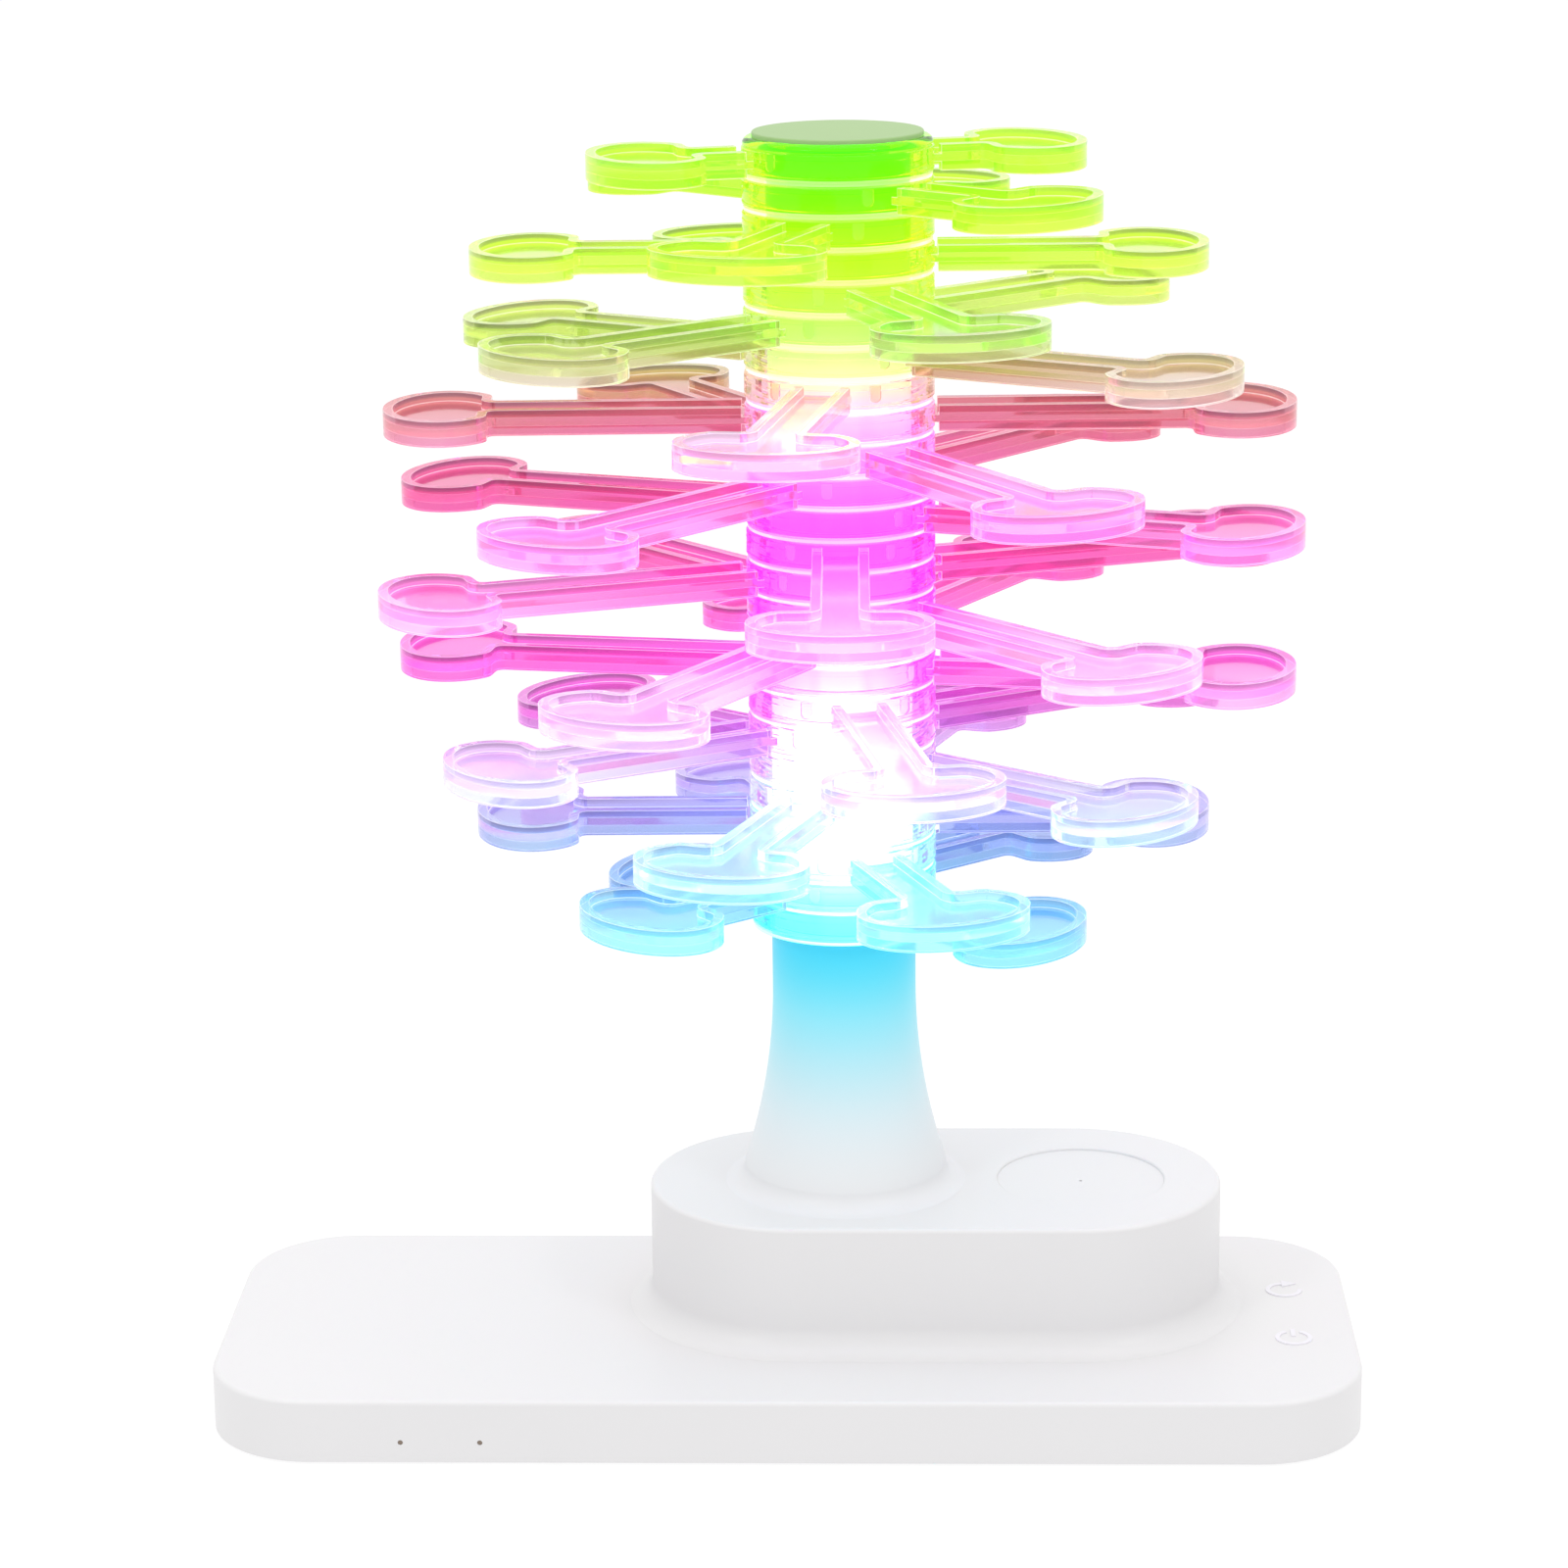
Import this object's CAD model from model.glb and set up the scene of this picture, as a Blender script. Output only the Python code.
# %% [markdown]
# # A desk lamp shaped like a tree
#
# A white plate charges a phone, a raised platform charges a watch or earbuds,
# and a lit trunk carries 25 clear rings with two leaves each. The lamp's frame
# comes from its CAD model: that fixes every size and every place. Here the
# visible pieces are modelled again with soft edges and real wall thickness,
# and get their plastics. All lengths below are metres; MM turns millimetres
# into metres. Vertices closer than WELD are merged, a vertex within TOUCH of a
# plane counts as lying on it, and CUT_SLACK keeps a cut from snapping to a
# vertex that is merely near.

# %% Load the frame
from math import cos, pi, radians, sin, sqrt

import bmesh
import bpy
import numpy as np
from mathutils import Matrix, Vector


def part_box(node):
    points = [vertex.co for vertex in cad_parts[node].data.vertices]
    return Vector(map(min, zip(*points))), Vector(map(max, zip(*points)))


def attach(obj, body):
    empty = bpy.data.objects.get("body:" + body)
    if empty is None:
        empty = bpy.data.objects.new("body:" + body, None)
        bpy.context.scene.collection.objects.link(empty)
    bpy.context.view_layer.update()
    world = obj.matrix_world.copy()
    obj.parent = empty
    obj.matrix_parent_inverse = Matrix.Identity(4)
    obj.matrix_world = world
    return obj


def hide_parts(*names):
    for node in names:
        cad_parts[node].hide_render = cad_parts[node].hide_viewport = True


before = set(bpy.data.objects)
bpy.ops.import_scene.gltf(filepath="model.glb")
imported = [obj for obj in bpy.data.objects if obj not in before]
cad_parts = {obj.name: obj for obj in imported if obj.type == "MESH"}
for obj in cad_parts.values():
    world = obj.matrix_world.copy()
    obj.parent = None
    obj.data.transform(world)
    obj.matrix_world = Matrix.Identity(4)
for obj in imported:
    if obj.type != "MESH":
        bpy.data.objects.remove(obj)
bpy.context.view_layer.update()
MM = 0.001
WELD = 0.002 * MM
TOUCH = 0.01 * MM
CUT_SLACK = 0.001 * MM

# %% [markdown]
# ## Where things are
#
# A piece that is made anew has to sit exactly where its CAD solid sits, or the
# joints would turn about the wrong line. So the main places are read from the
# boxes of the CAD nodes, and only small details such as edge radii are chosen
# here.

# %% Measure the frame
def middle(node):
    low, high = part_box(node)
    return (low + high) / 2


plate_low, plate_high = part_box("base_cover")
PLATE_HALF = (plate_high - plate_low) / 2
platform_low, platform_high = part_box("platform_cover")
PLATE_TOP = plate_high.z
PLATFORM_TOP = platform_high.z
TREE = Vector((*middle("core_tube").xy, 0))
TRUNK_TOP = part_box("trunk")[1].z
LEAF_RINGS = sorted(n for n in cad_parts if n.startswith("leaf_ring_"))
print("tree axis", [round(v / MM, 2) for v in TREE], "rings", len(LEAF_RINGS))

# %% [markdown]
# ## Working by hand, in code
#
# Modelling operators act on whatever is selected. In a window one clicks on
# vertices; in a script they are picked by where they are. These few helpers do
# that: they clear the selection, go in and out of edit mode, and pick the
# vertices, edges or faces that pass a test.

# %% Selecting and editing
def select_only(*pieces):
    bpy.ops.object.select_all(action="DESELECT")
    for piece in pieces:
        piece.select_set(True)
    bpy.context.view_layer.objects.active = pieces[-1]


def edit(piece, kind="VERT"):
    select_only(piece)
    bpy.ops.object.mode_set(mode="EDIT")
    bpy.ops.mesh.select_mode(type=kind)
    bpy.ops.mesh.select_all(action="DESELECT")


def leave_edit():
    bpy.ops.object.mode_set(mode="OBJECT")


def pick(kind, test):
    """Selects, in edit mode, the parts of one kind that pass the test, and counts them."""
    bpy.ops.mesh.select_mode(type=kind)
    bpy.ops.mesh.select_all(action="DESELECT")
    mesh = bmesh.from_edit_mesh(bpy.context.object.data)
    parts = {"VERT": mesh.verts, "EDGE": mesh.edges, "FACE": mesh.faces}[kind]
    chosen = [p for p in parts if test(p)]
    for part in chosen:
        part.select_set(True)
    mesh.select_flush_mode()
    bmesh.update_edit_mesh(bpy.context.object.data)
    return len(chosen)


def centre(part):
    """The middle of an edge or a face."""
    if isinstance(part, bmesh.types.BMFace):
        return part.calc_center_median()
    return (part.verts[0].co + part.verts[1].co) / 2


def move(x=0.0, y=0.0, z=0.0):
    bpy.ops.transform.translate(value=(x, y, z))


def extrude(x=0.0, y=0.0, z=0.0):
    bpy.ops.mesh.extrude_region_move(TRANSFORM_OT_translate={"value": (x, y, z)})


# %% Modifiers and reports
def apply_modifier(piece, kind, **settings):
    select_only(piece)
    modifier = piece.modifiers.new(kind.title(), kind)
    for name, value in settings.items():
        setattr(modifier, name, value)
    bpy.ops.object.modifier_apply(modifier=modifier.name)


def close_up(piece):
    """Merges doubles and turns every face outwards."""
    edit(piece)
    bpy.ops.mesh.select_all(action="SELECT")
    bpy.ops.mesh.remove_doubles(threshold=WELD)
    bpy.ops.mesh.normals_make_consistent(inside=False)
    leave_edit()


def report(piece):
    mesh = bmesh.new()
    mesh.from_mesh(piece.data)
    open_edges = sum(1 for e in mesh.edges if not e.is_manifold)
    triangles = sum(len(f.verts) - 2 for f in mesh.faces)
    print(f"{piece.name}: {triangles} triangles, {open_edges} open edges,",
          [round(v / MM, 1) for v in piece.dimensions])
    mesh.free()


def smooth(piece, angle=35):
    """Shades gentle bends smoothly, and keeps large flat faces flat."""
    select_only(piece)
    bpy.ops.object.shade_smooth_by_angle(angle=radians(angle))
    apply_modifier(piece, "WEIGHTED_NORMAL", keep_sharp=True)


# %% [markdown]
# ## Drawing a section
#
# Most mouldings here are one wall section carried along a path: round a circle
# for the trunk and the rings, round a rectangle with round corners for the
# plate. The section is drawn as a line of vertices, by extruding one vertex
# from point to point. Then `spin` carries it round a corner and `extrude`
# along a straight side. This keeps the corner radii exact, and the edge loops
# follow the shape.

# %% Sections, spins and sweeps
def draw_line(name, points):
    """An open line of vertices through the points, left in edit mode with its end selected."""
    if bpy.context.object and bpy.context.object.mode == "EDIT":
        leave_edit()
    bpy.ops.object.select_all(action="DESELECT")
    bpy.ops.mesh.primitive_plane_add(size=MM, location=(0, 0, 0))
    piece = bpy.context.object
    piece.name = piece.data.name = name
    bpy.ops.object.mode_set(mode="EDIT")
    bpy.ops.mesh.merge(type="CENTER")
    points = [Vector(p) for p in points]
    bpy.ops.transform.translate(value=points[0])
    for here, there in zip(points, points[1:]):
        extrude(*(there - here))
    return piece


def arc(u, v, radius, start, end, steps):
    """Points (radius from the path, height) on an arc; angles in degrees."""
    angles = [radians(start + (end - start) * k / steps) for k in range(steps + 1)]
    return [(u + radius * cos(a), v + radius * sin(a)) for a in angles]


def turn(centre_point, angle, steps):
    """Spins the selection anticlockwise, seen from above."""
    bpy.ops.mesh.spin(steps=steps, angle=-angle, center=centre_point, axis=(0, 0, 1))


def lathe(name, section, axis=TREE, steps=128):
    """A section of (radius, height) points, turned right round a vertical axis."""
    piece = draw_line(name, [(axis.x + r, axis.y, z) for r, z in section])
    bpy.ops.mesh.select_all(action="SELECT")
    turn((axis.x, axis.y, 0), 2 * pi, steps)
    leave_edit()
    close_up(piece)
    return piece


def sweep_round(name, section, middle_point, half_x, half_y, steps=24):
    """A section of (corner radius, height) points, carried round a rounded rectangle."""
    x, y = middle_point.x, middle_point.y
    piece = draw_line(name, [(x + half_x, y - half_y - r, z) for r, z in section])
    bpy.ops.mesh.select_all(action="SELECT")
    corners = [(half_x, -half_y), (half_x, half_y), (-half_x, half_y), (-half_x, -half_y)]
    sides = [(0, 2 * half_y), (-2 * half_x, 0), (0, -2 * half_y), (2 * half_x, 0)]
    for (cx, cy), side in zip(corners, sides):
        turn((x + cx, y + cy, 0), pi / 2, steps)
        if side != (0, 0) and any(abs(s) > MM for s in side):
            extrude(*side)
    bpy.ops.mesh.select_all(action="SELECT")
    bpy.ops.mesh.remove_doubles(threshold=WELD)
    pick("EDGE", lambda e: e.is_boundary)
    return piece


def fill_loops(piece):
    """Closes each open loop of a swept section with one flat face."""
    heights = sorted({round(v.co.z, 6) for v in bmesh.from_edit_mesh(piece.data).verts if v.is_boundary})
    for height in heights:
        pick("EDGE", lambda e: e.is_boundary and abs(centre(e).z - height) < TOUCH)
        bpy.ops.mesh.edge_face_add()
    leave_edit()
    close_up(piece)


# %% [markdown]
# ## The plate and the platform
#
# On the real lamp the plate and the platform are one satin-white moulding:
# a shell about 2 mm thick, open underneath, with a hollow curve where the
# platform rises. It could be one box with bevels, but then the hollow curve
# and the edge rounds would fight for the same faces. Two swept solids joined
# by a boolean keep each curve clean. A third solid hollows the platform.

# %% Sweep the plate
CORNER_R = 20.8 * MM
EDGE_R = 0.9 * MM
WALL = 2.2 * MM
SKIN = 2.2 * MM
plate_hx = PLATE_HALF.x - CORNER_R
plate_hy = PLATE_HALF.y - CORNER_R
plate_middle = (plate_low + plate_high) / 2
plate_section = [(CORNER_R - WALL, PLATE_TOP - SKIN), (CORNER_R - WALL, plate_low.z), (CORNER_R, plate_low.z)]
plate_section += arc(CORNER_R - EDGE_R, PLATE_TOP - EDGE_R, EDGE_R, 0, 90, 6)
base_shell = sweep_round("base_shell", plate_section, plate_middle, plate_hx, plate_hy)
fill_loops(base_shell)
report(base_shell)

# %% Sweep the platform and the hollow under it
FOOT_R = 5 * MM
FOOT_TRIM = 0.5 * MM
ROOF = 3 * MM
platform_middle = (platform_low + platform_high) / 2
PLATFORM_R = (platform_high.y - platform_low.y) / 2 - FOOT_R
platform_hx = (platform_high.x - platform_low.x) / 2 - FOOT_R - PLATFORM_R
foot = [p for p in arc(PLATFORM_R + FOOT_R, PLATE_TOP + FOOT_R, FOOT_R, 270, 180, 12)]
foot_trim_z = PLATE_TOP + FOOT_R - sqrt(FOOT_R**2 - FOOT_TRIM**2)
platform_section = [(PLATFORM_R + FOOT_R - FOOT_TRIM, PLATE_TOP - SKIN / 2),
                    (PLATFORM_R + FOOT_R - FOOT_TRIM, foot_trim_z)]
platform_section += [p for p in foot if p[1] > foot_trim_z + 0.05 * MM]
platform_section += arc(PLATFORM_R - EDGE_R, PLATFORM_TOP - EDGE_R, EDGE_R, 0, 90, 6)
platform = sweep_round("platform", platform_section, platform_middle, platform_hx, 0, steps=28)
fill_loops(platform)
hollow_section = [(PLATFORM_R - WALL, PLATE_TOP - SKIN - MM), (PLATFORM_R - WALL, PLATFORM_TOP - ROOF)]
hollow = sweep_round("hollow", hollow_section, platform_middle, platform_hx, 0, steps=28)
fill_loops(hollow)
report(platform)
report(hollow)

# %% [markdown]
# The openings are cut with solids too: the shallow pocket for the round pad,
# the passage under the trunk, the slot for the charging lead at the back, and
# two pinholes for the indicator lights in the front wall.

# %% Cut the openings
def cut(piece, *cutters):
    for cutter in cutters:
        apply_modifier(piece, "BOOLEAN", operation="DIFFERENCE", object=cutter, solver="EXACT")
    for cutter in cutters:
        bpy.data.objects.remove(cutter)


def drum(name, place, radius, depth, sides=96, tilt=0.0):
    bpy.ops.object.select_all(action="DESELECT")
    bpy.ops.mesh.primitive_cylinder_add(vertices=sides, radius=radius, depth=depth,
                                        location=place, rotation=(tilt, 0, 0))
    bpy.context.object.name = name
    return bpy.context.object


pad_middle = middle("pad_disc")
pad_low, pad_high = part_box("pad_disc")
POCKET_R = (pad_high.x - pad_low.x) / 2 - 0.02 * MM
pocket = drum("pocket", (pad_middle.x, pad_middle.y, pad_low.z + MM), POCKET_R, 2 * MM)
passage = drum("passage", (TREE.x, TREE.y, PLATFORM_TOP), 8.2 * MM, 10 * MM, 48)
pipes_low, pipes_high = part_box("indicator_pipes")
PIPE_R = (pipes_high.z - pipes_low.z) / 2
pipe_xs = (pipes_low.x + PIPE_R, pipes_high.x - PIPE_R)
pipe_z = (pipes_low.z + pipes_high.z) / 2
pinholes = [drum("pinhole", (x, plate_low.y, pipe_z), PIPE_R, 3 * WALL, 24, pi / 2) for x in pipe_xs]
apply_modifier(base_shell, "BOOLEAN", operation="UNION", object=platform, solver="EXACT")
bpy.data.objects.remove(platform)
cut(base_shell, hollow, pocket, passage, *pinholes)
report(base_shell)

# %% Cut the slot for the lead
socket_low, socket_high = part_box("usb_socket")
socket_middle = (socket_low + socket_high) / 2
SLOT_GAP = 0.15 * MM
slot_high = socket_high.z - socket_low.z + 2 * SLOT_GAP
bpy.ops.object.select_all(action="DESELECT")
bpy.ops.mesh.primitive_cube_add(size=1, location=(socket_middle.x, plate_high.y, socket_middle.z),
                                scale=(socket_high.x - socket_low.x + 2 * SLOT_GAP, 4 * WALL, slot_high))
slot = bpy.context.object
bpy.ops.object.transform_apply(location=True, rotation=True, scale=True)
edit(slot, "EDGE")
pick("EDGE", lambda e: abs(e.verts[0].co.y - e.verts[1].co.y) > WALL)
bpy.ops.mesh.bevel(offset=slot_high * 0.49, segments=8, affect="EDGES")
leave_edit()
cut(base_shell, slot)

# %% Soften the pocket's rim
edit(base_shell, "EDGE")
pocket_rim = pick("EDGE", lambda e: all(
    abs(v.co.z - PLATFORM_TOP) < TOUCH
    and abs((v.co.xy - pad_middle.xy).length - POCKET_R) < 0.05 * MM for v in e.verts))
bpy.ops.mesh.bevel(offset=0.4 * MM, segments=3, affect="EDGES")
leave_edit()
close_up(base_shell)
smooth(base_shell)
print("pocket rim edges:", pocket_rim)
report(base_shell)

# %% [markdown]
# ## The trunk
#
# The trunk is a frosted white tube that flares like the foot of a tree and
# meets the platform in a small hollow curve. Light from above glows through
# it. A lathe section gives both walls at once, so the moulding has a real
# thickness for the light to shine through.

# %% Turn the trunk
TRUNK_R = 13.9 * MM
FLARE_TOP = 78 * MM
FLARE = 0.0045 / MM
TRUNK_FOOT_R = 4 * MM
TRUNK_WALL = 2.6 * MM


def flare(z):
    return TRUNK_R + FLARE * max(0.0, FLARE_TOP - z) ** 2


foot_z = PLATFORM_TOP + TRUNK_FOOT_R
heights = [foot_z + (FLARE_TOP - foot_z) * k / 20 for k in range(1, 21)]
trunk_section = arc(flare(foot_z) + TRUNK_FOOT_R, foot_z, TRUNK_FOOT_R, 268, 180, 12)
trunk_section += [(flare(z), z) for z in heights]
trunk_section += arc(TRUNK_R - 0.4 * MM, TRUNK_TOP - 0.4 * MM, 0.4 * MM, 0, 90, 3)
trunk_section += [(TRUNK_R - TRUNK_WALL, TRUNK_TOP)]
trunk_section += [(flare(z) - TRUNK_WALL, z) for z in reversed(heights)]
trunk_section += [(flare(foot_z) - TRUNK_WALL, foot_z), (flare(foot_z) - TRUNK_WALL, trunk_section[0][1])]
trunk_section += [trunk_section[0]]
trunk_tube = lathe("trunk_tube", trunk_section)
smooth(trunk_tube, 50)
report(trunk_tube)

# %% [markdown]
# ## The round pad
#
# The small charging pad lies a little below the platform and dips towards its
# middle, so that a watch or an earbud case stays put. A tiny vent marks its
# centre. The dish is a lathe section as well; the vent is inset and pushed in.

# %% Turn the pad
PAD_R = (pad_high.x - pad_low.x) / 2
DISH_DEPTH = 0.35 * MM
dish = [(PAD_R * (1 - k / 10), pad_high.z - DISH_DEPTH * (1 - (1 - k / 10) ** 2)) for k in range(1, 10)]
pad_section = [(0.6 * MM, pad_low.z), (PAD_R, pad_low.z)]
pad_section += [(PAD_R, pad_high.z)]
pad_section += dish + [(0.35 * MM, dish[-1][1]), (0.35 * MM, dish[-1][1] - 0.5 * MM), (0.6 * MM, pad_low.z)]
pad_dish = lathe("pad_dish", pad_section, Vector((pad_middle.x, pad_middle.y, 0)), 96)
smooth(pad_dish)
report(pad_dish)

# %% [markdown]
# ## A ring with two leaves
#
# Every tier is the same clear moulding: a ring that turns on the core tube,
# and two leaves opposite each other. A leaf is a flat arm with an oval head,
# and a rim stands up and down all round its floor, so a cut across the arm
# looks like a letter H. Only the arm's length differs from tier to tier. So
# one tier is modelled at the origin, with the longest arm, and the copies have
# their heads moved in.
#
# The leaf begins as the oval of its head. The back of the oval is cut off
# straight, the arm is extruded from the middle of that edge, and the corners
# are rounded. An inset then gives the rim its width.

# %% Draw the leaf's outline
RING_LOW, RING_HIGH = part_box(LEAF_RINGS[12])
RIM_HEIGHT = 4.9 * MM
RIM_WIDTH = 1.9 * MM
LEAF_FLOOR = 1.5 * MM
ARM_HALF = 5.25 * MM
HEAD_HALF = 16.4 * MM
HEAD_LONG = 11.5 * MM
HEAD_BACK = 20 * MM
RING_R = 17.9 * MM
RAIL_START = 18.4 * MM
NECK_START = 16.6 * MM


def leaf_axis(node):
    """(reach, turn) of a tier's leaves, from the spread of its CAD vertices."""
    places = np.array([v.co[:2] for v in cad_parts[node].data.vertices]) - np.array(TREE[:2])
    far = places[np.hypot(*places.T) > 1.2 * RING_R]
    along = np.linalg.eigh(far.T @ far)[1][:, 1]
    along *= 1 if along[0] > 0 else -1
    return float((places @ along).max()), float(np.arctan2(along[1], along[0]))


tiers = {name: leaf_axis(name) for name in LEAF_RINGS}
LONG_REACH = max(reach for reach, _ in tiers.values())
head_middle = LONG_REACH - HEAD_LONG
head_back = LONG_REACH - HEAD_BACK
bpy.ops.object.select_all(action="DESELECT")
bpy.ops.mesh.primitive_circle_add(vertices=60, radius=1, fill_type="NGON", location=(0, 0, 0))
leaf = bpy.context.object
leaf.name = leaf.data.name = "leaf"
edit(leaf)
bpy.ops.mesh.select_all(action="SELECT")
bpy.ops.transform.resize(value=(HEAD_LONG, HEAD_HALF, 1), center_override=(0, 0, 0))
move(x=head_middle)
bpy.ops.mesh.bisect(plane_co=(head_back, 0, 0), plane_no=(1, 0, 0), clear_inner=True, threshold=CUT_SLACK)
print("longest leaf reaches", round(LONG_REACH / MM, 1), "mm")

# %% Draw out the arm
def on_back(vertex):
    return abs(vertex.co.x - head_back) < TOUCH


pick("EDGE", lambda e: all(on_back(v) for v in e.verts))
bpy.ops.mesh.subdivide(number_cuts=2)
pick("VERT", lambda v: on_back(v) and abs(v.co.y) < ARM_HALF)
arm_now = max(v.co.y for v in bmesh.from_edit_mesh(leaf.data).verts if v.select)
bpy.ops.transform.resize(value=(1, ARM_HALF / arm_now, 1), center_override=(head_back, 0, 0))
pick("EDGE", lambda e: all(on_back(v) and abs(v.co.y) < ARM_HALF + TOUCH for v in e.verts))
ARM_ROOT = 12 * MM
extrude(x=ARM_ROOT - head_back)
bpy.ops.mesh.select_all(action="SELECT")
bpy.ops.mesh.dissolve_faces()
pick("VERT", lambda v: on_back(v) and abs(v.co.y) > ARM_HALF + MM)
bpy.ops.mesh.bevel(offset=1.2 * MM, segments=4, affect="VERTICES")
pick("VERT", lambda v: on_back(v) and abs(abs(v.co.y) - ARM_HALF) < TOUCH)
bpy.ops.mesh.bevel(offset=1.5 * MM, segments=5, affect="VERTICES")

# %% Raise the rim
bpy.ops.mesh.select_mode(type="FACE")
bpy.ops.mesh.select_all(action="SELECT")
bpy.ops.mesh.inset(thickness=RIM_WIDTH, use_even_offset=True)
for x, clear in ((NECK_START, True), (RAIL_START, False)):
    bpy.ops.mesh.select_all(action="SELECT")
    bpy.ops.mesh.bisect(plane_co=(x, 0, 0), plane_no=(1, 0, 0), clear_inner=clear, threshold=CUT_SLACK)
floor_area = max(f.calc_area() for f in bmesh.from_edit_mesh(leaf.data).faces)
rim_faces = pick("FACE", lambda f: f.calc_area() < floor_area * 0.99 and centre(f).x > RAIL_START)
extrude(z=(RIM_HEIGHT - LEAF_FLOOR) / 2)
bpy.ops.mesh.select_all(action="SELECT")
move(z=LEAF_FLOOR / 2)
pick("EDGE", lambda e: e.is_boundary)
extrude(z=-LEAF_FLOOR / 2)
leave_edit()
print("faces raised as rim:", rim_faces)

# %% [markdown]
# The upper half is mirrored down to give the H. A small bevel on every sharp
# edge matters more on clear plastic than anywhere else: the fine bright lines
# that draw the leaf's shape are light caught in those edges. The bevel
# modifier can give its new faces a material slot of their own, so the edges
# get a paler, brighter acrylic than the walls.

# %% Mirror the leaf and soften its edges
LEAF_SLOT, EDGE_SLOT, RING_SLOT = range(3)
ACRYLICS = [bpy.data.materials.new(name) for name in ("leaf_acrylic", "lit_edge_acrylic", "ring_acrylic")]
for material in ACRYLICS:
    leaf.data.materials.append(material)
apply_modifier(leaf, "MIRROR", use_axis=(False, False, True), merge_threshold=0.01 * MM)
close_up(leaf)
apply_modifier(leaf, "BEVEL", width=0.25 * MM, segments=2, limit_method="ANGLE", angle_limit=radians(40),
               material=EDGE_SLOT)
close_up(leaf)
report(leaf)

# %% [markdown]
# The ring's wall carries two fine grooves, and four small catches that click
# against the next tier. Each catch is a shallow window with a round lower end,
# cut beside the leaves.

# %% Turn the ring
RING_BORE = 13.5 * MM
RING_BASE = 0.4 * MM - RIM_HEIGHT / 2
RING_TOP = 5.0 * MM - RIM_HEIGHT / 2
GROOVE = 0.28 * MM
SOFT = 0.2 * MM


def groove(z):
    return [(RING_R, z - 0.22 * MM), (RING_R - GROOVE, z - 0.12 * MM),
            (RING_R - GROOVE, z + 0.12 * MM), (RING_R, z + 0.22 * MM)]


ring_section = [(RING_BORE, RING_BASE + SOFT), (RING_BORE + SOFT, RING_BASE), (RING_R - SOFT, RING_BASE)]
ring_section += [(RING_R, RING_BASE + SOFT)] + groove(RING_BASE + 0.75 * MM) + groove(RING_TOP - 1.15 * MM)
ring_section += [(RING_R, RING_TOP - SOFT), (RING_R - SOFT, RING_TOP), (RING_BORE + SOFT, RING_TOP)]
ring_section += [(RING_BORE, RING_TOP - SOFT), (RING_BORE, RING_BASE + SOFT)]
ring = lathe("ring", ring_section, Vector((0, 0, 0)), 120)
for material in ACRYLICS:
    ring.data.materials.append(material)
edit(ring, "FACE")
bpy.ops.mesh.select_all(action="SELECT")
ring.active_material_index = RING_SLOT
bpy.ops.object.material_slot_assign()
leave_edit()
report(ring)

# %% Cut the catches
CATCH_TURN = radians(32)
CATCH_WIDTH = 2.2 * MM
CATCH_HEIGHT = 3.1 * MM
CATCH_DROP = 0.3 * MM
CATCH_DEPTH = 0.5 * MM


def turned(piece, angle):
    """Turns the whole piece about the tree's axis at the origin."""
    edit(piece)
    bpy.ops.mesh.select_all(action="SELECT")
    bpy.ops.transform.rotate(value=-angle, orient_axis="Z", center_override=(0, 0, 0))
    leave_edit()


catches = []
for angle in (CATCH_TURN, -CATCH_TURN, pi + CATCH_TURN, pi - CATCH_TURN):
    bpy.ops.object.select_all(action="DESELECT")
    bpy.ops.mesh.primitive_cube_add(
        size=1, location=(RING_R + CATCH_DEPTH, 0, RING_TOP - CATCH_HEIGHT / 2 - CATCH_DROP),
                                    scale=(4 * CATCH_DEPTH, CATCH_WIDTH, CATCH_HEIGHT))
    catch = bpy.context.object
    bpy.ops.object.transform_apply(location=True, rotation=True, scale=True)
    edit(catch, "EDGE")
    pick("EDGE", lambda e: abs(e.verts[0].co.x - e.verts[1].co.x) > CATCH_DEPTH
         and centre(e).z < RING_TOP - CATCH_HEIGHT)
    bpy.ops.mesh.bevel(offset=CATCH_WIDTH * 0.45, segments=5, affect="EDGES")
    leave_edit()
    turned(catch, angle)
    catches.append(catch)
cut(ring, *catches)
report(ring)

# %% [markdown]
# The ring and its leaves are one moulding, and clear plastic shows any wall
# that is buried inside another. So they are welded with a boolean union, which
# removes the hidden walls, and not just joined.

# %% Weld the tier together
select_only(leaf)
bpy.ops.object.duplicate()
leaf_opposite = bpy.context.object
turned(leaf_opposite, pi)
tier = ring
tier.name = tier.data.name = "tier"
for part in (leaf, leaf_opposite):
    apply_modifier(tier, "BOOLEAN", operation="UNION", object=part, solver="EXACT")
    bpy.data.objects.remove(part)
close_up(tier)
report(tier)

# %% Copy the tier up the tree
STRETCH_FROM = 40 * MM
clear_tiers = []
for node, (reach, angle) in tiers.items():
    body = "ring_" + node[-2:]
    tier_middle = middle(node).z
    select_only(tier)
    bpy.ops.object.duplicate()
    copy = bpy.context.object
    copy.name = copy.data.name = "clear_tier_" + node[-2:]
    edit(copy)
    for side in (1, -1):
        pick("VERT", lambda v: side * v.co.x > STRETCH_FROM)
        move(x=side * (reach - LONG_REACH))
    leave_edit()
    turned(copy, angle)
    edit(copy)
    bpy.ops.mesh.select_all(action="SELECT")
    move(TREE.x, TREE.y, tier_middle)
    leave_edit()
    smooth(copy)
    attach(copy, body)
    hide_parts(node)
    copy.visible_shadow = copy.visible_diffuse = False
    clear_tiers.append(copy)
bpy.data.objects.remove(tier)
report(clear_tiers[12])

# %% [markdown]
# ## The top
#
# A clear collar with a rounded shoulder holds the stack down, and a frosted
# disc lies in it. Both are turned. The disc has a soft edge, so that a thin
# line shows between the two.

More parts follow.
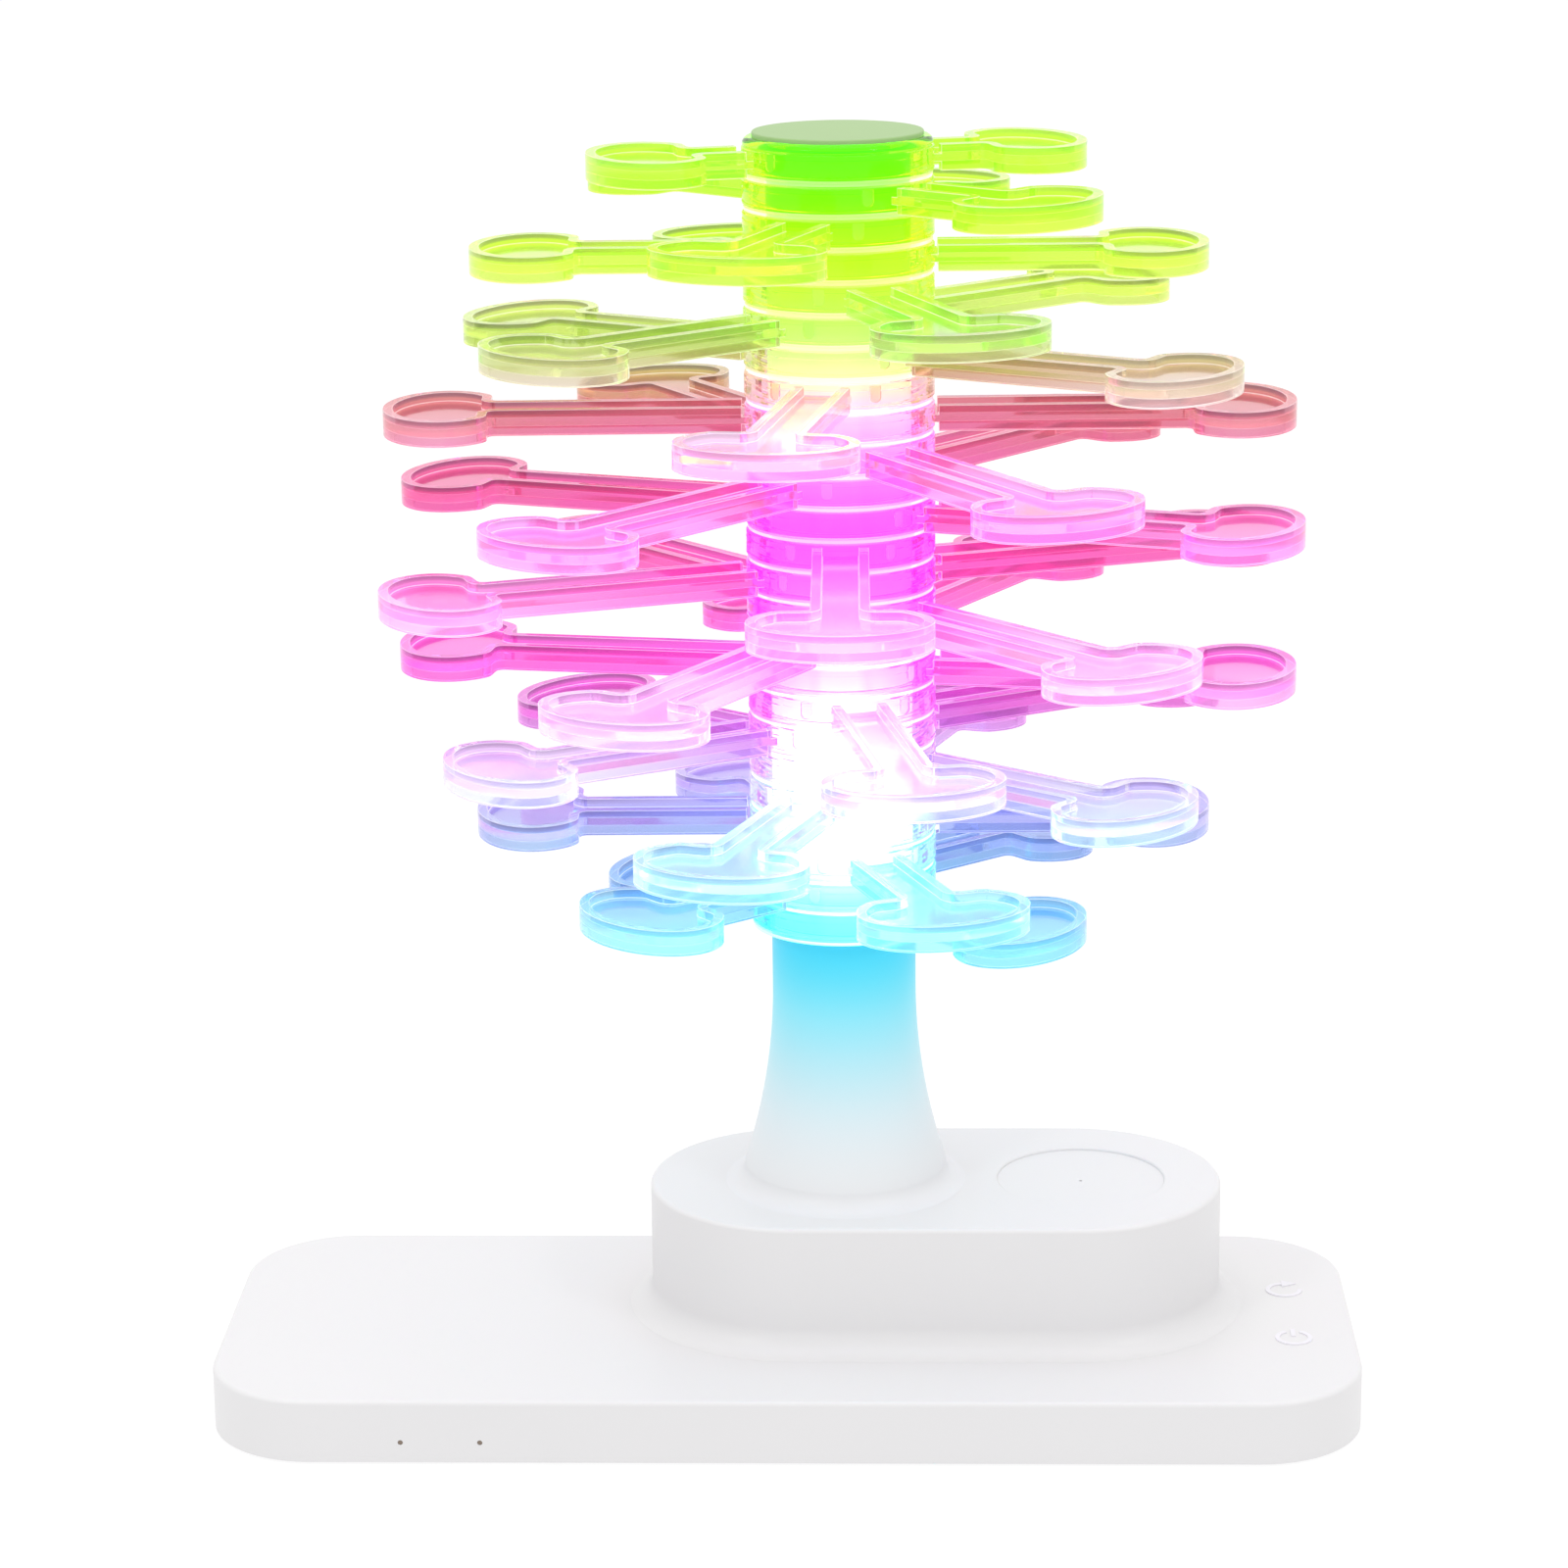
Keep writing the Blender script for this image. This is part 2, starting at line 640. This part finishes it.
# %% Turn the collar and the cap
collar_low, collar_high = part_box("top_collar")
cap_low, cap_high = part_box("cap_disc")
COLLAR_R = (collar_high.x - collar_low.x) / 2
CAP_R = (cap_high.x - cap_low.x) / 2
SHOULDER = 1.3 * MM
CAP_STEP = 0.5 * MM
CAP_GAP = 0.1 * MM
CAP_ROUND = 0.3 * MM
collar_foot = collar_low.z + TOUCH
collar_section = [(CAP_R - MM, cap_low.z), (CAP_R - MM, collar_foot), (COLLAR_R - SOFT, collar_foot)]
collar_section += arc(COLLAR_R - SHOULDER, collar_high.z - CAP_STEP - SHOULDER, SHOULDER, 0, 80, 8)
seat_r = CAP_R + CAP_GAP
collar_section += [(seat_r, collar_high.z - CAP_STEP), (seat_r, cap_low.z), (CAP_R - MM, cap_low.z)]
collar = lathe("clear_collar", collar_section)
cap_section = [(0.1 * MM, cap_low.z), (CAP_R, cap_low.z)]
cap_section += arc(CAP_R - CAP_ROUND, cap_high.z - CAP_ROUND, CAP_ROUND, 0, 90, 4)
cap_section += [(0.1 * MM, cap_high.z)]
cap = lathe("cap", cap_section)
edit(cap)
pick("EDGE", lambda e: e.is_boundary)
bpy.ops.mesh.fill()
leave_edit()
close_up(cap)
for piece in (collar, cap):
    smooth(piece)
    report(piece)

# %% [markdown]
# ## Which body each piece rides on
#
# The tiers turn, and all else stands still with the lamp. Each new piece hides
# the CAD solid that it stands for.

# %% Ride and replace
for piece, nodes in ((base_shell, ("base_cover", "platform_cover")), (trunk_tube, ("trunk",)),
                     (pad_dish, ("pad_disc",)), (collar, ("top_collar",)), (cap, ("cap_disc",))):
    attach(piece, "lamp")
    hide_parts(*nodes)
    print(piece.name, "stands for", nodes)

# %% [markdown]
# ## Node groups
#
# Several plastics here share two effects. The first is moulding grain: faint
# unevenness in colour, gloss and height. The second is the light in the tree:
# its colour depends on how high a point is, and it pales away from the
# core. Each is built once as a group that gives out only colours and masks.

# %% Small helpers for nodes
def colour(text):
    """A linear colour from the usual six hex digits."""
    parts = [int(text[k:k + 2], 16) / 255 for k in (1, 3, 5)]
    return [p / 12.92 if p <= 0.04045 else ((p + 0.055) / 1.055) ** 2.4 for p in parts] + [1]


def new_group(name, inputs, outputs):
    group = bpy.data.node_groups.new(name, "ShaderNodeTree")
    for direction, sockets in (("INPUT", inputs), ("OUTPUT", outputs)):
        for socket, kind, *start in sockets:
            made = group.interface.new_socket(socket, in_out=direction, socket_type="NodeSocket" + kind)
            if start:
                made.default_value = start[0]
    return group, group.nodes.new("NodeGroupInput"), group.nodes.new("NodeGroupOutput")


def maths(group, operation, a, b=0.0, clamp=False):
    """A Math node; a and b are sockets or numbers. Gives its output."""
    node = group.nodes.new("ShaderNodeMath")
    node.operation, node.use_clamp = operation, clamp
    for socket, value in zip(node.inputs, (a, b)):
        if isinstance(value, bpy.types.NodeSocket):
            group.links.new(value, socket)
        else:
            socket.default_value = value
    return node.outputs[0]


def spread(group, value, low, high, start=0.0, end=1.0):
    """A smooth Map Range node from low..high to start..end. Gives its output."""
    node = group.nodes.new("ShaderNodeMapRange")
    node.interpolation_type = "SMOOTHSTEP"
    group.links.new(value, node.inputs["Value"])
    for socket, number in zip(("From Min", "From Max", "To Min", "To Max"), (low, high, start, end)):
        node.inputs[socket].default_value = number
    return node.outputs[0]


def blend_colours(group, factor, a, b, mode="MIX"):
    node = group.nodes.new("ShaderNodeMix")
    node.data_type, node.blend_type = "RGBA", mode
    for socket, value in zip((node.inputs[0], node.inputs[6], node.inputs[7]), (factor, a, b)):
        if isinstance(value, bpy.types.NodeSocket):
            group.links.new(value, socket)
        else:
            socket.default_value = value
    return node.outputs[2]


def bands(group, height, stops):
    """A colour ramp whose stops are (height in mm, colour). Gives its colour."""
    low, high = stops[0][0], stops[-1][0]
    node = group.nodes.new("ShaderNodeValToRGB")
    node.color_ramp.interpolation = "B_SPLINE"
    elements = node.color_ramp.elements
    for k, (z, shade) in enumerate(stops):
        place = (z - low) / (high - low)
        element = elements[0] if k == 0 else elements[-1] if k == len(stops) - 1 else elements.new(place)
        element.position, element.color = place, colour(shade)
    share = group.nodes.new("ShaderNodeMapRange")
    group.links.new(height, share.inputs["Value"])
    share.inputs["From Min"].default_value = low * MM
    share.inputs["From Max"].default_value = high * MM
    group.links.new(share.outputs[0], node.inputs[0])
    return node.outputs[0]


# %% The grain of moulded plastic
grain, grain_in, grain_out = new_group(
    "moulding_grain",
    [("Scale", "Float", 2500.0), ("Colour", "Color"), ("Tone", "Float", 0.02),
     ("Roughness", "Float", 0.4), ("Unevenness", "Float", 0.08)],
    [("Colour", "Color"), ("Roughness", "Float"), ("Height", "Float")])
place = grain.nodes.new("ShaderNodeTexCoord").outputs["Object"]


def noise(group, scale, detail):
    node = group.nodes.new("ShaderNodeTexNoise")
    node.inputs["Detail"].default_value = detail
    group.links.new(place, node.inputs["Vector"])
    if isinstance(scale, bpy.types.NodeSocket):
        group.links.new(scale, node.inputs["Scale"])
    else:
        node.inputs["Scale"].default_value = scale
    return node.outputs[0]


fine = noise(grain, grain_in.outputs["Scale"], 3)
broad = noise(grain, 22.0, 2)
shade = maths(grain, "MULTIPLY_ADD", broad, grain_in.outputs["Tone"])
shade.node.inputs[2].default_value = 0.99
shaded = blend_colours(grain, 1.0, grain_in.outputs["Colour"], shade, "MULTIPLY")
grain.links.new(shaded, grain_out.inputs["Colour"])
wander = maths(grain, "MULTIPLY", maths(grain, "SUBTRACT", broad, 0.5), grain_in.outputs["Unevenness"])
wandered = maths(grain, "ADD", grain_in.outputs["Roughness"], wander, True)
grain.links.new(wandered, grain_out.inputs["Roughness"])
grain.links.new(fine, grain_out.inputs["Height"])
print("group", grain.name, "has", len(grain.nodes), "nodes")

# %% [markdown]
# The light runs from cyan at the trunk over violet, magenta and a pale cream
# to lime at the top, and its bands lean a little: they rise towards the back.
# Colour ramps read that leaning height, for the light itself, the tint of the
# rings, and the tint of the leaves in front and at the back, where less light
# reaches them. Close to the core, the leaves take on some of the ring's
# strong tint.

# %% The light in the tree
LEAN = 0.2
RING_TINTS = [(60, "#08f0ff"), (96, "#10f2ff"), (105, "#60dcff"), (115, "#a8c8ff"), (125, "#a888ff"),
              (134, "#c44cf8"), (145, "#fa28fc"), (172, "#fa14f8"), (185, "#fc48ea"), (194, "#d87ca0"),
              (200, "#b8986c"), (206, "#98b848"), (213, "#9cec18"), (222, "#a8f804"), (234, "#98fa04"),
              (242, "#80f814"), (256, "#80f814")]
FRONT_TINTS = [(60, "#90e8ff"), (88, "#a0ecff"), (100, "#c4faff"), (109, "#d0faff"), (116, "#e2ecff"),
               (123, "#eeeaff"), (132, "#f4e2fe"), (141, "#ffd2ff"), (150, "#ffd2ff"), (160, "#ffb8fc"),
               (169, "#ffa8fa"), (177, "#ffb8f6"), (183, "#fcccf4"), (190, "#ecdce0"), (196, "#dcceb8"),
               (201, "#ccd690"), (207, "#b4ec70"), (213, "#d4f458"), (220, "#e0fa5c"), (229, "#c8f43c"),
               (238, "#dafd78"), (256, "#dafd78")]
REAR_TINTS = [(60, "#90d0f8"), (90, "#88c4f4"), (104, "#8c98d0"), (113, "#b0b0e8"), (123, "#d4a8ec"),
              (132, "#d070c4"), (139, "#f070d4"), (147, "#f072d4"), (156, "#ee68bc"), (167, "#ea68b0"),
              (176, "#e46ca8"), (185, "#da6c90"), (194, "#d48488"), (200, "#c8a878"), (205, "#b6d85c"),
              (211, "#d2dc88"), (219, "#dcf45c"), (229, "#c0f030"), (238, "#d0fa50"), (256, "#d0fa50")]
CORE_LIGHTS = [(60, "#c0ffff"), (92, "#d8ffff"), (104, "#ffffff"), (142, "#fff8ff"), (156, "#ffd0ff"),
               (166, "#ffa8ff"), (174, "#ffc0ff"), (186, "#f0d8e0"), (194, "#dcdcc0"), (202, "#b8f8a8"),
               (212, "#c0ff80"), (222, "#b4ff50"), (230, "#70ff28"), (256, "#48f810")]
CORE_POWER = [(60, "#a0a0a0"), (92, "#d0d0d0"), (104, "#ffffff"), (138, "#ffffff"), (148, "#d8d8d8"),
              (160, "#b8b8b8"), (176, "#c8c8c8"), (190, "#b0b0b0"), (200, "#989898"), (210, "#787878"),
              (222, "#686868"), (236, "#585858"), (256, "#505050")]
FIRST_TIER_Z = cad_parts[LEAF_RINGS[0]].bound_box[0][2]
TIER_PITCH = (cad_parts[LEAF_RINGS[-1]].bound_box[0][2] - FIRST_TIER_Z) / (len(LEAF_RINGS) - 1)
light, light_in, light_out = new_group(
    "tree_light", [],
    [("Ring Tint", "Color"), ("Leaf Tint", "Color"), ("Core Light", "Color"), ("Lamp Light", "Color"),
     ("Wall Shade", "Float")])
place = light.nodes.new("ShaderNodeTexCoord").outputs["Object"]
split = light.nodes.new("ShaderNodeSeparateXYZ")
light.links.new(place, split.inputs[0])
across = maths(light, "SUBTRACT", split.outputs[0], TREE.x)
deep = maths(light, "SUBTRACT", split.outputs[1], TREE.y)
height = maths(light, "ADD", split.outputs[2], maths(light, "MULTIPLY", deep, LEAN))
away = maths(light, "SQRT", maths(light, "ADD", maths(light, "MULTIPLY", across, across),
                                  maths(light, "MULTIPLY", deep, deep)))
nearness = spread(light, away, 20 * MM, 70 * MM, 1.0, 0.0)
frontness = spread(light, deep, -52 * MM, 4 * MM, 1.0, 0.0)
ring_tint = bands(light, height, RING_TINTS)
leaf_far = blend_colours(light, frontness, bands(light, height, REAR_TINTS),
                         bands(light, height, FRONT_TINTS))
leaf_tint = blend_colours(light, maths(light, "MULTIPLY", nearness, 0.15), leaf_far, ring_tint)
core_light = bands(light, height, CORE_LIGHTS)
lamp_light = blend_colours(light, 1.0, core_light, bands(light, height, CORE_POWER), "MULTIPLY")
climb = maths(light, "SUBTRACT", split.outputs[2], FIRST_TIER_Z)
level = maths(light, "FRACT", maths(light, "DIVIDE", climb, TIER_PITCH))
low_band = spread(light, level, 0.30, 0.36, 1.0, 0.0)
normal = light.nodes.new("ShaderNodeTexCoord").outputs["Normal"]
lie = light.nodes.new("ShaderNodeSeparateXYZ")
light.links.new(normal, lie.inputs[0])
upright = spread(light, maths(light, "ABSOLUTE", lie.outputs[2]), 0.3, 0.6, 1.0, 0.0)
dim = maths(light, "SUBTRACT", 1.0, maths(light, "MULTIPLY", frontness, 0.5))
dim = maths(light, "MULTIPLY", dim, maths(light, "SUBTRACT", 1.0, nearness))
wall_shade = maths(light, "MULTIPLY", maths(light, "MULTIPLY", low_band, upright), dim)
for name, socket in (("Ring Tint", ring_tint), ("Leaf Tint", leaf_tint), ("Core Light", core_light),
                     ("Lamp Light", lamp_light), ("Wall Shade", wall_shade)):
    light.links.new(socket, light_out.inputs[name])
print("group", light.name, "has", len(light.nodes), "nodes")

# %% [markdown]
# ## Plastics
#
# A Principled shader makes each plastic. What is the same all over, such as
# coat or transmission, is set on the shader; what changes over the surface
# comes from the groups.

# %% Make a material
def new_material(name, **sockets):
    """A Principled material. Socket names are written with underscores."""
    material = bpy.data.materials.get(name) or bpy.data.materials.new(name)
    material.use_nodes = True
    shader = material.node_tree.nodes["Principled BSDF"]
    for socket, value in sockets.items():
        shader.inputs[socket.replace("_", " ")].default_value = value
    return material, material.node_tree, shader


def use_group(tree_, group, **values):
    node = tree_.nodes.new("ShaderNodeGroup")
    node.node_tree = group
    for socket, value in values.items():
        node.inputs[socket].default_value = value
    return node


def bump(tree_, shader, height, strength, distance):
    node = tree_.nodes.new("ShaderNodeBump")
    node.inputs["Strength"].default_value = strength
    node.inputs["Distance"].default_value = distance
    tree_.links.new(height, node.inputs["Height"])
    tree_.links.new(node.outputs[0], shader.inputs["Normal"])


def moulded(name, shade_text, roughness, scale=2500.0, tone=0.02, height=0.02, unevenness=0.08, **sockets):
    """An opaque moulded or painted surface with grain."""
    material, nodes, shader = new_material(name, **sockets)
    grit = use_group(nodes, grain, Scale=scale, Colour=colour(shade_text), Tone=tone,
                     Roughness=roughness, Unevenness=unevenness)
    nodes.links.new(grit.outputs["Colour"], shader.inputs["Base Color"])
    nodes.links.new(grit.outputs["Roughness"], shader.inputs["Roughness"])
    bump(nodes, shader, grit.outputs["Height"], 0.25, height * MM)
    return material


def dress(piece, material):
    """Puts the material in all of a piece's slots."""
    if not piece.data.materials:
        piece.data.materials.append(material)
    for k in range(len(piece.data.materials)):
        piece.data.materials[k] = material


# %% [markdown]
# The plate, platform and pad are satin white ABS. Real white plastic is not
# quite white: it leans to lilac, reflects softly, and its surface has a very
# fine spark-eroded grain.

# %% White plastic
satin_white = moulded("satin_white_plastic", "#dcdbdc", 0.42, height=0.03, Specular_IOR_Level=0.5,
                      Coat_Weight=0.15, Coat_Roughness=0.3)
for piece in (base_shell, pad_dish):
    dress(piece, satin_white)
    print(piece.name, "is", satin_white.name)

# %% [markdown]
# The trunk is the same white in a milky grade. Near the top it is filled with
# cyan light that fades downwards. The fade is part of the plastic's look from
# every side, so it is a ramp over height, in both the body colour and a little
# glow.

# %% Milky trunk
milky, nodes, shader = new_material("milky_trunk_plastic", Coat_Weight=0.1, Coat_Roughness=0.3,
                                    Emission_Strength=0.12)
place = nodes.nodes.new("ShaderNodeTexCoord").outputs["Object"]
split = nodes.nodes.new("ShaderNodeSeparateXYZ")
nodes.links.new(place, split.inputs[0])
TRUNK_FADE = [(38, "#dedddf"), (44, "#dcdee0"), (50, "#d8dfe3"), (56, "#cfe0e6"), (63, "#b8dee7"), (70, "#9cdbe8"),
              (77, "#7ad9ea"), (84, "#46cfe8"), (92, "#20c4e6")]
TRUNK_GLOW = [(38, "#000000"), (56, "#202828"), (70, "#50a0b0"), (92, "#20d4f6")]
fade = bands(nodes, split.outputs[2], TRUNK_FADE)
grit = use_group(nodes, grain, Scale=2500.0, Tone=0.02, Roughness=0.45, Unevenness=0.06)
nodes.links.new(fade, grit.inputs["Colour"])
nodes.links.new(grit.outputs["Colour"], shader.inputs["Base Color"])
nodes.links.new(grit.outputs["Roughness"], shader.inputs["Roughness"])
nodes.links.new(bands(nodes, split.outputs[2], TRUNK_GLOW), shader.inputs["Emission Color"])
bump(nodes, shader, grit.outputs["Height"], 0.25, 0.02 * MM)
dress(trunk_tube, milky)
print(trunk_tube.name, "is", milky.name)

# %% [markdown]
# The tiers are clear acrylic lit from inside. Clear plastic needs real
# thickness, a true index of refraction and something bright behind it. The
# tint sits in the base colour. The leaves are a little milky, so part of their
# light is scattered in the plastic and part passes through; the ring walls are
# fully clear; and the bevelled edges are paler and glow. A fine mottle keeps
# the leaf floors from looking like empty air.

# %% Clear tinted acrylic
WALL_SHADE = 0.55
GLOSSY_LIMIT = 2.5
CLEAR_LIMIT = 8.5


def trapped_light(nodes, tint, gain):
    """Rays that have bounced too often inside the plastic see its tint, not black."""
    path = nodes.nodes.new("ShaderNodeLightPath")
    caught = maths(nodes, "GREATER_THAN", path.outputs["Glossy Depth"], GLOSSY_LIMIT)
    lost = maths(nodes, "GREATER_THAN", path.outputs["Transmission Depth"], CLEAR_LIMIT)
    trapped = maths(nodes, "MAXIMUM", caught, lost)
    bright = nodes.nodes.new("ShaderNodeVectorMath")
    bright.operation = "SCALE"
    nodes.links.new(tint, bright.inputs[0])
    bright.inputs["Scale"].default_value = gain
    return blend_colours(nodes, trapped, tint, bright.outputs[0])


def clear_acrylic(name, tint, clearness, pale=0.0, glow_power=0.05, roughness=0.08, ior=1.35):
    material, nodes, shader = new_material(name, Transmission_Weight=clearness, IOR=ior,
                                           Emission_Strength=glow_power)
    glow = use_group(nodes, light)
    grit = use_group(nodes, grain, Scale=1800.0, Tone=0.05, Roughness=roughness, Unevenness=0.04)
    paled = blend_colours(nodes, pale, glow.outputs[tint], colour("#ffffff"))
    if tint == "Ring Tint":
        root = nodes.nodes.new("ShaderNodeGamma")
        root.inputs["Gamma"].default_value = 0.5
        nodes.links.new(paled, root.inputs["Color"])
        paled = root.outputs[0]
    else:
        shade = maths(nodes, "MULTIPLY", glow.outputs["Wall Shade"], WALL_SHADE)
        paled = blend_colours(nodes, shade, paled, colour("#5c4a68"))
    nodes.links.new(paled, grit.inputs["Colour"])
    nodes.links.new(grit.outputs["Colour"], shader.inputs["Base Color"])
    nodes.links.new(grit.outputs["Roughness"], shader.inputs["Roughness"])
    nodes.links.new(trapped_light(nodes, paled, 0.5 / glow_power), shader.inputs["Emission Color"])
    bump(nodes, shader, grit.outputs["Height"], 0.2, 0.02 * MM)
    return material


clear_acrylic("leaf_acrylic", "Leaf Tint", 0.82)
clear_acrylic("lit_edge_acrylic", "Leaf Tint", 0.6, pale=0.5, glow_power=0.2)

# %% [markdown]
# Light from the core crosses two faces of a ring, so each face carries only
# the root of the ring's tint. At both sides of the stack, where no lamp lies
# behind the plastic, the full tint shows; in the middle the strong light
# behind it washes it out to a pale one.

# %% Ring acrylic
ring_acrylic = clear_acrylic("ring_acrylic", "Ring Tint", 1.0, roughness=0.04, ior=1.22)
dress(collar, ring_acrylic)
print("tier slots:", [m.name for m in clear_tiers[0].data.materials])

# %% [markdown]
# The light itself comes from four strips of LEDs on a square bar. A frosted
# tube round them blurs the single lamps into one soft column that is brightest
# along its middle, from whichever side it is seen. Between the tiers lie thin
# clear washers.

# %% Strips, frosted tube and washers
STRIP_POWER = 4.0
TUBE_POWER = 0.8


def lit(name, shown, power, clearness=0.0):
    """A glowing finish. The tree's own light colours it, the same from every side."""
    material, nodes, shader = new_material(name, Roughness=0.5, Transmission_Weight=clearness,
                                           Emission_Strength=power)
    glow = use_group(nodes, light)
    nodes.links.new(glow.outputs["Core Light"], shader.inputs["Base Color"])
    nodes.links.new(glow.outputs[shown], shader.inputs["Emission Color"])
    return material


lit_strip = lit("lit_led_strip", "Lamp Light", STRIP_POWER)
for node in ("led_strips", "led_chips"):
    dress(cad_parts[node], lit_strip)
dress(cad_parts["core_tube"], lit("frosted_core_tube", "Core Light", TUBE_POWER, clearness=0.6))
print("strip power", STRIP_POWER, "tube power", TUBE_POWER)
washer_clear = clear_acrylic("clear_washer_plastic", "Ring Tint", 1.0, pale=0.2, glow_power=0.2)
for node in ("stack_washers", "stack_seat"):
    dress(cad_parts[node], washer_clear)

# %% Frosted cap
dress(cap, moulded("frosted_cap", "#98b87a", 0.5, height=0.03, Coat_Weight=0.1, Coat_Roughness=0.4))

# %% [markdown]
# ## The CAD pieces that still show
#
# The icons, the pinhole lights, the inlet and everything underneath keep their
# CAD shape. They get plain but real finishes: printed grey, brass-tinted light
# pipes, nickel, zinc-plated screws, rubber, circuit board and copper.

# %% Finish the CAD pieces
finishes = {
    moulded("printed_icon_grey", "#e2e0e6", 0.35): ("colour_icon", "power_icon"),
    moulded("light_pipe_amber", "#8a7a6c", 0.25): ("indicator_pipes",),
    moulded("nickel_shell", "#c8c8cc", 0.25, Metallic=1.0): ("usb_socket",),
    moulded("zinc_plated_steel", "#b8bcc0", 0.35, Metallic=1.0): ("cover_screws", "foot_screws", "top_screw"),
    moulded("grey_bottom_abs", "#dcdbe0", 0.5, height=0.05): ("bottom_cover",),
    moulded("silicone_mat", "#8c8c90", 0.75, 1200.0, 0.08, 0.08): ("anti_slip_mat",),
    moulded("sheet_steel", "#8a8d90", 0.4, Metallic=1.0): ("ballast_plate",),
    moulded("anodised_aluminium", "#a9abb0", 0.35, Metallic=1.0): ("core_bar", "bar_foot"),
    moulded("copper_winding", "#b0643c", 0.3, 4000.0, 0.1, 0.1, Metallic=1.0): ("phone_coil", "pad_coil"),
    moulded("ferrite_tile", "#3c3c40", 0.6): ("phone_ferrite", "pad_ferrite"),
    moulded("circuit_board", "#2c6a48", 0.35, 900.0, 0.15, 0.05): ("main_board", "touch_board"),
    moulded("component_black", "#2e2e32", 0.45): ("board_parts",),
    moulded("wire_insulation", "#b02c2c", 0.45): ("inner_wiring",),
}
for material, names in finishes.items():
    for name in names:
        dress(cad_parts[name], material)
print("finishes on CAD pieces:", len(finishes))

# %% [markdown]
# ## Floor, light and camera
#
# The lamp stands in a white studio: a white surround lights it evenly from all
# sides, and two small soft boxes and a wide one above draw the gentle highlights.
# The floor is pale and almost as bright as the surround. It lies a hair below
# the mat, because two faces in one plane would flicker.

# %% Floor and surround
FLOOR_GAP = 0.05 * MM
bpy.ops.object.select_all(action="DESELECT")
bpy.ops.mesh.primitive_plane_add(size=8, location=(0, 0, -FLOOR_GAP))
floor = bpy.context.object
floor.name = "floor"
floor_white, nodes, shader = new_material("studio_floor", Base_Color=(0.2, 0.2, 0.2, 1), Roughness=0.9,
                                          Specular_IOR_Level=0.0, Emission_Color=(1, 1, 1, 1),
                                          Emission_Strength=0.82)
dress(floor, floor_white)
world = bpy.data.worlds.new("studio")
bpy.context.scene.world = world
world.use_nodes = True
world.node_tree.nodes["Background"].inputs[0].default_value = (1, 1, 1, 1)
world.node_tree.nodes["Background"].inputs[1].default_value = 1.0
print("floor at", floor.location.z, "surround", world.name)

# %% Soft boxes
def soft_box(name, place_, aim, size, power):
    lamp = bpy.data.lights.new(name, "AREA")
    lamp.size, lamp.energy = size, power
    box = bpy.data.objects.new(name, lamp)
    bpy.context.scene.collection.objects.link(box)
    box.location = place_
    box.rotation_euler = (Vector(aim) - Vector(place_)).to_track_quat("-Z", "Y").to_euler()


soft_box("soft_box_left", (-0.7, -0.8, 0.9), (0, 0, 0.05), 0.2, 1.3)
soft_box("soft_box_right", (0.8, -0.7, 0.9), (0, 0, 0.05), 0.2, 1.3)
soft_box("soft_box_top", (0, 0.1, 1.6), (0, 0, 0), 1.2, 6.0)
print("lights:", len(bpy.data.lights))

# %% [markdown]
# A long lens from a little above the middle of the tree keeps the upright
# lines straight. The camera is turned a touch to the left and rolled by half a
# degree.

# %% Camera
camera_data = bpy.data.cameras.new("camera")
camera = bpy.data.objects.new("camera", camera_data)
bpy.context.scene.collection.objects.link(camera)
camera_data.lens = 99.467
camera_data.sensor_width = 36
camera_data.clip_end = 20
heading, tilt, roll = radians(1.977), radians(15.338), radians(-0.6635)
aim = Matrix.Rotation(heading, 3, "Z") @ Matrix.Rotation(pi / 2 - tilt, 3, "X")
aim = aim @ Matrix.Rotation(roll, 3, "Z")
camera.location = (27.637 * MM, -793.216 * MM, 338.620 * MM)
camera.rotation_euler = aim.to_euler()
bpy.context.scene.camera = camera
bpy.context.scene.view_settings.view_transform = "Standard"
print("lens", camera_data.lens, "camera at", tuple(camera.location))
